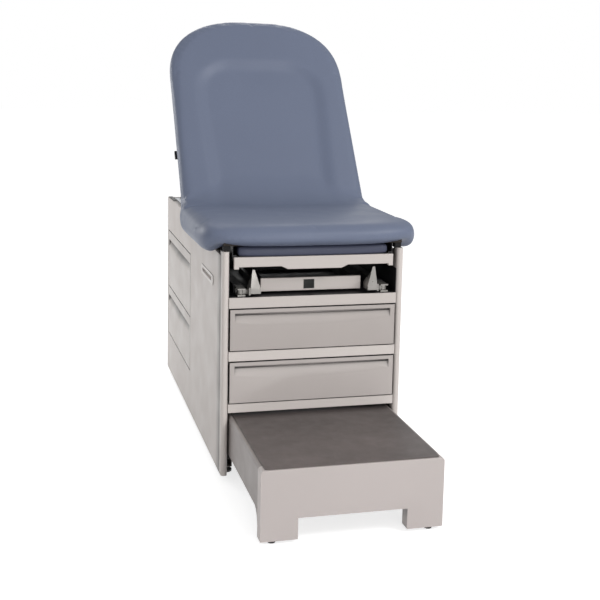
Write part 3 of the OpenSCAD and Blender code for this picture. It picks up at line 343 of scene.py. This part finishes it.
SLOT_OF = {p["node"]: p["material_slot"] for p in frame["record"]["subparts"]}
POST_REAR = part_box("front_posts")[1].y
OWN_COAT = {
    # Side panels: a darker copy of the paint as painted shade, with painted shade at the joint to the posts
    "left_side_panel": powder_coat("powder_coat_panels", srgb(201, 193, 188), seam=POST_REAR),
    # The lower drawer's face: a lighter copy of the upper one's as painted light, with strong painted shade in its
    # corners
    "lower_drawer_front": powder_coat("drawer_face_low", srgb(194, 186, 182), 0.35, (0.022, 0.95)),
    "pan_badge": moulded("black_badge", srgb(13, 15, 14), 0.6),
    "seat_brackets": moulded("black_bracket", srgb(11, 11, 12), 0.7),
    # Side drawers: a lighter copy of the drawer faces' coat as painted light, with painted shade in the corners
    # and in the sunk pull
    "side_upper_drawer_front": powder_coat("side_drawer_face", srgb(199, 192, 187), 0.35, (0.030, 0.95),
                                           hollow=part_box("side_upper_drawer_front")[0].x),
    "grip_bezels": powder_coat("powder_coat_grips", srgb(222, 216, 212), 0.5, (0.010, 0.55)),
    # Rails: a lighter copy of the paint, painted light
    "drawer_rails": powder_coat("powder_coat_rails", srgb(219, 211, 206)),
    # Step front: lighter edges at full strength, worn paint and a painted highlight along its rims
    "step_front": powder_coat("powder_coat_step_front", srgb(198, 189, 186), 1.0),
    # Posts: a lighter copy of the paint as painted light, with painted shade at the joint behind them
    "front_posts": powder_coat("powder_coat_posts", srgb(216, 208, 203), seam=POST_REAR),
}
OWN_COAT["side_lower_drawer_front"] = OWN_COAT["side_upper_drawer_front"]
OWN_COAT["right_side_panel"] = OWN_COAT["left_side_panel"]


def material_of(node):
    return OWN_COAT.get(node, MATERIALS[SLOT_OF[node]])


for name, node in nodes.items():
    node.data.materials.clear()
    node.data.materials.append(material_of(name))

# ---------------------------------------------------------------------------
# Mesh helpers
# ---------------------------------------------------------------------------


def add_object(name, mesh, material):
    piece = bpy.data.objects.new(name, mesh)
    scene.collection.objects.link(piece)
    piece.data.materials.clear()
    piece.data.materials.append(material)
    for polygon in mesh.polygons:
        polygon.use_smooth = True
    return piece


def apply_modifiers(piece):
    """Puts what the modifiers make into the mesh itself."""
    graph = bpy.context.evaluated_depsgraph_get()
    graph.update()
    mesh = bpy.data.meshes.new_from_object(piece.evaluated_get(graph))
    piece.modifiers.clear()
    piece.data = mesh
    return piece


def finished(piece, node_names, body, slot):
    """Puts a rigid piece that stands for CAD nodes on their body."""
    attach(piece, body)
    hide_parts(*node_names)
    return piece


BODY_OF = {n: b for b, names in frame["record"]["behaviour"]["bodies"].items() for n in names}

# How edges are rounded: points closer than this are one, faces flatter than this are one (degrees),
# sharper edges than this get rounded (degrees), in so many steps
WELD, FLAT_ANGLE, SHARP_ANGLE, BEVEL_STEPS = 0.00002, 1, 32, 3

# Edges of the side panels further in than this stay sharp, which leaves the lock pins their room
PANEL_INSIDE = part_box("right_side_panel")[1].x - 4 * MM


def mark_wear_and_highlight(mesh):
    """Marks the points inside the rounded edges, where paint rubs off first and where a highlight is painted."""
    mask = np.ones(len(mesh.vertices))
    for polygon in mesh.polygons:
        if polygon.material_index == 0:
            mask[list(polygon.vertices)] = 0
    mesh.attributes.new("wear_and_highlight", "FLOAT", "POINT").data.foreach_set("value", mask)
    mesh.polygons.foreach_set("material_index", [0] * len(mesh.polygons))
    mesh.materials.pop()


def bevelled(node, width):
    """A copy of a CAD node with rounded edges, as folded sheet or a moulding has them."""
    mesh = nodes[node].data.copy()
    mesh.name = node + "_soft_edges"
    work = bmesh.new()
    work.from_mesh(mesh)
    bmesh.ops.remove_doubles(work, verts=work.verts, dist=WELD)
    bmesh.ops.dissolve_limit(work, angle_limit=math.radians(FLAT_ANGLE), verts=work.verts, edges=work.edges)
    outer = work.edges.layers.float.new("bevel_weight_edge")
    for edge in work.edges:
        hidden = "side_panel" in node and min(abs(v.co.x) for v in edge.verts) < PANEL_INSIDE
        if edge.is_convex and edge.calc_face_angle(0) > math.radians(SHARP_ANGLE) and not hidden:
            edge[outer] = 1
    work.to_mesh(mesh)
    work.free()
    piece = add_object(node + "_dressed", mesh, material_of(node))
    mesh.materials.append(material_of(node))
    bevel = piece.modifiers.new("edges", "BEVEL")
    bevel.width = width
    bevel.segments = BEVEL_STEPS
    bevel.limit_method = "WEIGHT"
    bevel.use_clamp_overlap = True
    bevel.material = 1
    normals = piece.modifiers.new("normals", "WEIGHTED_NORMAL")
    normals.weight = 100
    normals.keep_sharp = True
    apply_modifiers(piece)
    mark_wear_and_highlight(piece.data)
    return finished(piece, [node], BODY_OF[node], SLOT_OF[node])


# ---------------------------------------------------------------------------
# Painted and moulded pieces with their edges rounded
# ---------------------------------------------------------------------------

EDGE_WIDTHS = {
    "left_side_panel": 1.4, "right_side_panel": 1.4, "front_posts": 1.2, "rear_panel": 1.0,
    "sill_rail": 2.4, "drawer_rails": 2.4, "pan_front": 2.2, "legrest_bar": 2.0,
    "step_front": 3.2, "step_deck": 2.0, "step_tread": 0.6, "seat_brackets": 2.0,
    "grip_bezels": 1.0, "upper_drawer_front": 2.2, "lower_drawer_front": 2.2,
    "side_upper_drawer_front": 2.2, "side_lower_drawer_front": 2.2,
    "left_stirrup_cup": 2.0, "right_stirrup_cup": 2.0, "left_stirrup_head": 1.0,
    "right_stirrup_head": 1.0, "edge_bumpers": 1.0, "release_bar": 1.0, "levelling_feet": 1.2,
    "step_feet": 1.2, "foot_rollers": 0.6, "back_board": 0.8, "seat_board": 0.8,
}
for name, width in EDGE_WIDTHS.items():
    bevelled(name, width * MM)

# ---------------------------------------------------------------------------
# Upholstery: one skin runs from the seat over the hinge onto the back
# ---------------------------------------------------------------------------

CORNER_STEPS = 22
SIDE_STEPS = 26


def superellipse_corner(half, reach, squareness):
    """From the side towards the middle, as offsets (x, v) from the corner's start."""
    points = []
    for k in range(CORNER_STEPS + 1):
        t = math.pi / 2 * k / (CORNER_STEPS + 0.5)
        points.append((half * math.cos(t) ** (2 / squareness), reach * math.sin(t) ** (2 / squareness)))
    return points


def ring_plan(half, v0, v1, low, high):
    """A closed outline between v0 and v1, counter-clockwise; low and high are (reach, squareness)."""
    lower, upper = superellipse_corner(half, *low), superellipse_corner(half, *high)
    a, b = v0 + low[0], v1 - high[0]
    side = [k / (SIDE_STEPS + 1) for k in range(1, SIDE_STEPS + 1)]
    ring = [(x, b + v) for x, v in upper]
    ring += [(-x, b + v) for x, v in reversed(upper)]
    ring += [(-half, b + (a - b) * t) for t in side]
    ring += [(-x, a - v) for x, v in lower]
    ring += [(x, a - v) for x, v in reversed(lower)]
    ring += [(half, a + (b - a) * t) for t in side]
    return ring


def lofted(name, rings, bottom, top):
    """A closed form through rings of points, closed by a point at each end."""
    work = bmesh.new()
    loops = [[work.verts.new(p) for p in ring] for ring in rings]
    ends = [work.verts.new(bottom), work.verts.new(top)]
    count = len(loops[0])
    for k in range(count):
        j = (k + 1) % count
        for lower, upper in zip(loops, loops[1:]):
            work.faces.new((lower[k], lower[j], upper[j], upper[k]))
        work.faces.new((ends[0], loops[0][j], loops[0][k]))
        work.faces.new((loops[-1][k], loops[-1][j], ends[1]))
    mesh = bpy.data.meshes.new(name)
    work.to_mesh(mesh)
    work.free()
    return mesh


def smoothstep(t):
    t = min(1.0, max(0.0, t))
    return t * t * (3 - 2 * t)


SEAT_LO, SEAT_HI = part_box("seat_cushion")
SEAT_HALF = SEAT_HI.x
SEAT_TOP = SEAT_HI.z
PANEL_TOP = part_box("seat_board")[0].z
BACK_LO, BACK_HI = back_box("back_cushion")
BACK_HALF = BACK_HI[0]
BACK_REACH = BACK_HI[1]
BACK_FACE = BACK_HI[2]
BACK_REAR = BACK_LO[2]

# Seat, in mm: (drawn in by, height over the panel tops at the sides, the same at both ends)
SEAT_PROFILE = [
    (64, 1.4, 1.6), (60, 0, 1.5), (55, -9, 1.4), (46, -20, 1.6), (34, -26, 2), (21, -26, 3),
    (11, -20, 6), (4, -9, 12), (1, 4, 20), (0, 17, 29), (1, 30, 34), (3.5, 40, 41), (8, 48.5, 46.5),
    (15, 55, 51.5), (25, 59.4, 56), (40, 62.6, 60), (62, 64.4, 63), (95, 65.3, 65),
    (140, 65.8, 65.8), (190, 66, 66), (235, 66, 66)]
SEAT_FRONT_CORNER = (0.190, 4)
SEAT_REAR_CORNER = (0.030, 4)
LEAST_CORNER = 0.030
SEAT_LENGTH = 0.590
SEAT_REAR_Y = SEAT_LO.y + SEAT_LENGTH
SEAT_RISE = 0.066
SEAT_FRONT_EASE = (0.080, 0.050)
SEAT_REAR_EASE = 0.07
BOTTOM_SHIFT = 0.014


def seat_rings():
    for inset, side, end in SEAT_PROFILE:
        inset, side, end = inset * MM, side * MM, end * MM
        v0, v1 = SEAT_LO.y + inset, SEAT_REAR_Y - inset
        height = max(side, end)
        v1 += BOTTOM_SHIFT * (1 - max(0.0, height) / SEAT_RISE)
        reach = (max(LEAST_CORNER, SEAT_FRONT_CORNER[0] - inset * 0.3), SEAT_FRONT_CORNER[1])
        ring = []
        for x, y in ring_plan(SEAT_HALF - inset, v0, v1, reach, SEAT_REAR_CORNER):
            t = smoothstep((v0 + SEAT_FRONT_EASE[0] - y) / SEAT_FRONT_EASE[1])
            t += smoothstep((y - v1 + SEAT_REAR_EASE) / SEAT_REAR_EASE)
            ring.append((x, y, PANEL_TOP + side + (end - side) * min(1, t)))
        yield ring


# Back, in mm: (drawn in by, height over the cushion's rear face). Its rear is sunk behind the board
BACK_THICK = 60
BOARD_SINK = 7
BACK_PROFILE = [
    (90, BOARD_SINK), (66, 6), (56, 1), (44, 0), (20, 0), (12, 0.6), (6, 4), (2, 11), (0, 22),
    (0.5, 33), (2.5, 42), (6, 49.5), (11, 54.6), (18, 57.6), (27, 59.2)]
BACK_PROFILE += [(inset, BACK_THICK) for inset in range(38, 350, 10)]
BACK_TOP_CORNER = (0.300, 2.5)
BACK_LOW_CORNER = (0.030, 3.0)
LEAST_TOP_CORNER = 0.12
BACK_LOW_U = 0.046
BACK_LOW_BEVEL = 0.026
BACK_MIDDLE_U = 0.45

# The face's sunken middle: how deep, its half width low and high, over what length it widens,
# its head end, corner and slope, and where it starts in from the cushion's edge
RECESS_DEPTH = 0.015
RECESS_HALF = (0.214, 0.240)
RECESS_WIDENS = 0.5
RECESS_HEAD_U = BACK_REACH - 0.232
RECESS_CORNER = 0.13
RECESS_SLOPE = 0.062
RECESS_INSET, RECESS_RAMP = 0.012, 0.035

# The valley between seat and back: its radius in the middle and at the edges, where across it
# narrows, the roll at its edges, the place up the back where the recess is taken from, and steps
VALLEY_RADIUS = 0.25
VALLEY_EDGE_RADIUS = 0.09
VALLEY_NARROWS = (0.4, 0.55)
VALLEY_ROLL = 0.026
VALLEY_RECESS_U = 0.2
VALLEY_STEPS = 18
BRIDGE_COLUMNS = 48
BRIDGE_MARGIN = 0.002
BRIDGE_DEPTH = 0.014
BRIDGE_SINK = 0.0005
BRIDGE_OVERLAP = 0.020
BRIDGE_LOW = 0.012


def back_rings():
    thick = BACK_FACE - BACK_REAR
    for inset, height in BACK_PROFILE:
        inset, height = inset * MM, height * MM
        v0 = BACK_LOW_U + inset - BACK_LOW_BEVEL * (1 - height / thick)
        v1 = BACK_REACH - inset
        top = (max(LEAST_TOP_CORNER, BACK_TOP_CORNER[0] - inset * 0.35), BACK_TOP_CORNER[1])
        sink = RECESS_DEPTH * smoothstep((inset - RECESS_INSET) / RECESS_RAMP) if height > thick / 2 else 0
        yield [back_point(x, u, BACK_REAR + height - sink * recess(x, u)) for x, u in ring_plan(
            BACK_HALF - inset, v0, v1, BACK_LOW_CORNER, top)]


def recess(x, u):
    """How much of the recess's depth is taken away at a place on the back's face."""
    half = RECESS_HALF[0] + (RECESS_HALF[1] - RECESS_HALF[0]) * min(1, max(0, u / RECESS_WIDENS))
    a = abs(x) - half + RECESS_CORNER
    b = u - RECESS_HEAD_U + RECESS_CORNER
    distance = math.hypot(max(a, 0), max(b, 0)) + min(max(a, b), 0) - RECESS_CORNER
    return 1 - smoothstep(distance / RECESS_SLOPE + 0.5)


def bridge_mesh():
    """The foam in the valley between seat and back: a prism with a hollow round top."""
    top = SEAT_TOP - BRIDGE_SINK
    low = PANEL_TOP + BRIDGE_DEPTH
    rings = []
    for k in range(2 * BRIDGE_COLUMNS + 1):
        across = k / BRIDGE_COLUMNS - 1
        edge = max(0.0, 1 - (1 - abs(across)) * BACK_HALF / VALLEY_ROLL)
        roll = VALLEY_ROLL * (1 - math.sqrt(max(0.0, 1 - edge ** 2)))
        x = across * (BACK_HALF - BRIDGE_MARGIN)
        face = BACK_REAR + BACK_THICK * MM - RECESS_DEPTH * recess(x, VALLEY_RECESS_U)
        u = (top - HINGE_POS.z - face * OUT_OF_BACK.z) / ALONG_BACK.z
        corner = back_point(0, u, face)
        narrowing = smoothstep((abs(across) - VALLEY_NARROWS[0]) / VALLEY_NARROWS[1])
        hollow = VALLEY_RADIUS + (VALLEY_EDGE_RADIUS - VALLEY_RADIUS) * narrowing
        tangent = hollow * math.tan(LEAN / 2)
        centre = Vector((0, corner.y - tangent, top + hollow))
        ring = [(across * SEAT_HALF, centre.y - BRIDGE_OVERLAP, low)]
        for n in range(VALLEY_STEPS + 1):
            a = LEAN * n / VALLEY_STEPS
            half = SEAT_HALF + (BACK_HALF - SEAT_HALF) * smoothstep(n / VALLEY_STEPS) - BRIDGE_MARGIN
            radius = hollow + roll
            ring.append((across * half, centre.y + radius * math.sin(a), centre.z - radius * math.cos(a)))
        ring += [tuple(back_point(x, u + tangent, BACK_REAR + BRIDGE_DEPTH)),
                 tuple(back_point(x, BACK_LOW_U + 0.004, BACK_REAR + BRIDGE_LOW)),
                 (x, SEAT_REAR_Y + BRIDGE_LOW, low)]
        rings.append(ring)
    work = bmesh.new()
    loops = [[work.verts.new(p) for p in ring] for ring in rings]
    for a, b in zip(loops, loops[1:]):
        for k in range(len(a)):
            j = (k + 1) % len(a)
            work.faces.new((a[k], a[j], b[j], b[k]))
    work.faces.new(list(reversed(loops[0])))
    work.faces.new(loops[-1])
    bmesh.ops.recalc_face_normals(work, faces=work.faces)
    mesh = bpy.data.meshes.new("bridge")
    work.to_mesh(mesh)
    work.free()
    face = BACK_REAR + BACK_THICK * MM - RECESS_DEPTH
    u = (top - HINGE_POS.z - face * OUT_OF_BACK.z) / ALONG_BACK.z
    reach = VALLEY_RADIUS * math.tan(LEAN / 2)
    return mesh, back_point(0, u, face).y - reach, u + reach


def joined(name, meshes):
    work = bmesh.new()
    for mesh in meshes:
        work.from_mesh(mesh)
    mesh = bpy.data.meshes.new(name)
    work.to_mesh(mesh)
    work.free()
    return mesh


def remeshed(piece, voxel):
    modifier = piece.modifiers.new("even", "REMESH")
    modifier.mode = "VOXEL"
    modifier.voxel_size = voxel
    modifier.use_smooth_shade = True
    return apply_modifiers(piece)


def smoothed(piece, rounds, factor=0.5):
    modifier = piece.modifiers.new("smooth", "SMOOTH")
    modifier.iterations = rounds
    modifier.factor = factor
    return apply_modifiers(piece)


def puffed(piece, pressure, cap, frames=20):
    """A short cloth simulation: the skin swells over its foam, each point by no more than cap."""
    start = np.empty(len(piece.data.vertices) * 3)
    piece.data.vertices.foreach_get("co", start)
    cloth = piece.modifiers.new("cloth", "CLOTH")
    settings = cloth.settings
    settings.quality = 5
    settings.mass = 0.4
    settings.tension_stiffness = settings.compression_stiffness = 40
    settings.shear_stiffness = 20
    settings.bending_stiffness = 6
    settings.use_pressure = True
    settings.uniform_pressure_force = pressure
    settings.effector_weights.gravity = 0
    cloth.collision_settings.use_collision = False
    for number in range(1, frames + 1):
        scene.frame_set(number)
    apply_modifiers(piece)
    scene.frame_set(1)
    end = np.empty_like(start)
    piece.data.vertices.foreach_get("co", end)
    move = (end - start).reshape(-1, 3)
    length = np.linalg.norm(move, axis=1, keepdims=True)
    move *= np.minimum(1, cap / np.maximum(length, 1e-9))
    piece.data.vertices.foreach_set("co", (start.reshape(-1, 3) + move).ravel())
    piece.data.update()
    return piece


seat_middle = (SEAT_LO.y + SEAT_REAR_Y) / 2
seat_form = lofted("seat_form", list(seat_rings()), (0, seat_middle, PANEL_TOP + SEAT_PROFILE[0][1] * MM),
                   (0, seat_middle, SEAT_TOP))
back_form = lofted("back_form", list(back_rings()), back_point(0, BACK_MIDDLE_U, BACK_REAR + BOARD_SINK * MM),
                   back_point(0, BACK_MIDDLE_U, BACK_REAR + BACK_THICK * MM - RECESS_DEPTH))
bridge, valley_y, valley_u = bridge_mesh()

# Voxel size and rounds of smoothing, in full and quick, and the swelling: pressure and greatest move
VOXEL, QUICK_VOXEL = 0.006, 0.009
ROUNDS, QUICK_ROUNDS = 10, 4
PRESSURE, PUFF_CAP = 3.0, 0.005
skin = add_object("upholstery", joined("upholstery", [seat_form, back_form, bridge]), MATERIALS["vinyl"])
remeshed(skin, VOXEL)
smoothed(skin, ROUNDS)
puffed(skin, PRESSURE, PUFF_CAP)

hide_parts("seat_cushion", "back_cushion")
tuple(back_point(0, valley_u, BACK_FACE - RECESS_DEPTH))
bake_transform(skin)

# Leg rest pad, in mm: (drawn in by, height over its lowest point)
PAD_LO, PAD_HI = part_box("legrest_cushion")
PAD_PROFILE = [(8, 0), (3, 1.5), (0.6, 6), (0, 13), (0.4, 21), (2, 27), (6, 30.5), (14, 32.2), (30, 32.9),
               (60, 33.2), (110, 33.2)]
PAD_CORNER = (0.022, 3.4)


def pad_rings():
    for inset, height in PAD_PROFILE:
        inset, height = inset * MM, height * MM
        yield [(x, y, PAD_LO.z + height) for x, y in ring_plan(
            PAD_HI.x - inset, PAD_LO.y + inset, PAD_HI.y - inset, PAD_CORNER, PAD_CORNER)]


pad = add_object("leg_rest_pad", lofted("leg_rest_pad", list(pad_rings()),
                 (0, (PAD_LO.y + PAD_HI.y) / 2, PAD_LO.z), (0, (PAD_LO.y + PAD_HI.y) / 2, PAD_HI.z)),
                 MATERIALS["vinyl_dark"])
finished(pad, ["legrest_cushion"], "leg_rest", "vinyl_dark")

# ---------------------------------------------------------------------------
# Floor, lamps and camera
# ---------------------------------------------------------------------------

FLOOR_SIZE = 30
FLOOR_TONE = 0.66
FLOOR_GLOW = 0.72
WORLD_LIGHT, WORLD_SEEN = 0.46, 1.0


def studio_floor():
    """A pale floor that looks white to the camera and to mirrors, and keeps the object's shadow."""
    work = bmesh.new()
    bmesh.ops.create_grid(work, x_segments=1, y_segments=1, size=FLOOR_SIZE)
    mesh = bpy.data.meshes.new("floor")
    work.to_mesh(mesh)
    work.free()
    s = Shader("floor", roughness=0.9, specular=0.1)
    s.bsdf.inputs["Base Color"].default_value = (FLOOR_TONE, FLOOR_TONE, FLOOR_TONE, 1)
    path = s.add("ShaderNodeLightPath")
    seen = s.math("MAXIMUM", path.outputs["Is Camera Ray"], path.outputs["Is Glossy Ray"])
    seen = s.math("MAXIMUM", seen, path.outputs["Is Transmission Ray"])
    glow = s.add("ShaderNodeEmission")
    glow.inputs["Color"].default_value = (1, 1, 1, 1)
    s.link(s.math("MULTIPLY", seen, FLOOR_GLOW), glow.inputs["Strength"])
    both = s.add("ShaderNodeAddShader")
    s.link(s.bsdf.outputs[0], both.inputs[0])
    s.link(glow.outputs[0], both.inputs[1])
    s.link(both.outputs[0], s.tree.nodes["Material Output"].inputs["Surface"])
    floor = add_object("floor", mesh, s.material)


def area_lamp(name, location, target, size, power):
    data = bpy.data.lights.new(name, "AREA")
    data.shape = "SQUARE"
    data.size = size
    data.energy = power
    lamp = bpy.data.objects.new(name, data)
    scene.collection.objects.link(lamp)
    lamp.location = location
    lamp.rotation_euler = (Vector(target) - Vector(location)).to_track_quat("-Z", "Y").to_euler()


studio_floor()
world = bpy.data.worlds.new("studio")
scene.world = world
world.use_nodes = True
tree = world.node_tree
background = tree.nodes["Background"]
background.inputs["Color"].default_value = (1, 1, 1, 1)
path = tree.nodes.new("ShaderNodeLightPath")
seen = tree.nodes.new("ShaderNodeMath")
seen.operation = "MAXIMUM"
tree.links.new(path.outputs["Is Camera Ray"], seen.inputs[0])
tree.links.new(path.outputs["Is Transmission Ray"], seen.inputs[1])
level = tree.nodes.new("ShaderNodeMapRange")
level.inputs["To Min"].default_value = WORLD_LIGHT
level.inputs["To Max"].default_value = WORLD_SEEN
tree.links.new(seen.outputs[0], level.inputs["Value"])
tree.links.new(level.outputs["Result"], background.inputs["Strength"])

# Lamps: place, what they point at, size in metres, power in watts
LAMPS = {
    "key": ((3.4, -3.8, 4.7), (0, 0, 0.7), 2.0, 165),
    "front": ((0.3, -6.5, 1.5), (0, 0, 0.7), 2.4, 90),
    "rear": ((0.5, 3.2, 3.0), (0, 0.2, 0.8), 2.0, 30),
    "left_rear": ((-2.0, 2.3, 1.5), (-0.3, 0.7, 0.5), 1.2, 21),
    "left_front": ((-3.6, -3.2, 2.6), (-0.2, -0.2, 0.8), 1.5, 9),
}
for name, lamp in LAMPS.items():
    area_lamp(name, *lamp)

# Camera: found from the straight edges of the cabinet and the step in the photograph
CAMERA_POS = (-0.9093, -3.7075, 1.3463)
CAMERA_YAW, CAMERA_PITCH, CAMERA_ROLL = (math.radians(a) for a in (14.62, 8.03, 1.17))
CAMERA_LENS, SENSOR = 63.67, 36
CAMERA_SHIFT_Y = -80 / 600

forward0 = Vector((math.sin(CAMERA_YAW), math.cos(CAMERA_YAW), 0))
right0 = Vector((math.cos(CAMERA_YAW), -math.sin(CAMERA_YAW), 0))
forward = forward0 * math.cos(CAMERA_PITCH) - Vector((0, 0, 1)) * math.sin(CAMERA_PITCH)
up0 = Vector((0, 0, 1)) * math.cos(CAMERA_PITCH) + forward0 * math.sin(CAMERA_PITCH)
right = right0 * math.cos(CAMERA_ROLL) + up0 * math.sin(CAMERA_ROLL)
up = up0 * math.cos(CAMERA_ROLL) - right0 * math.sin(CAMERA_ROLL)
lens = bpy.data.cameras.new("camera")
lens.sensor_width = SENSOR
lens.lens = CAMERA_LENS
lens.shift_y = CAMERA_SHIFT_Y
camera = bpy.data.objects.new("camera", lens)
scene.collection.objects.link(camera)
camera.matrix_world = Matrix.Translation(CAMERA_POS) @ Matrix((right, up, -forward)).transposed().to_4x4()
scene.camera = camera
scene.view_settings.view_transform = "Standard"

bpy.context.view_layer.update()
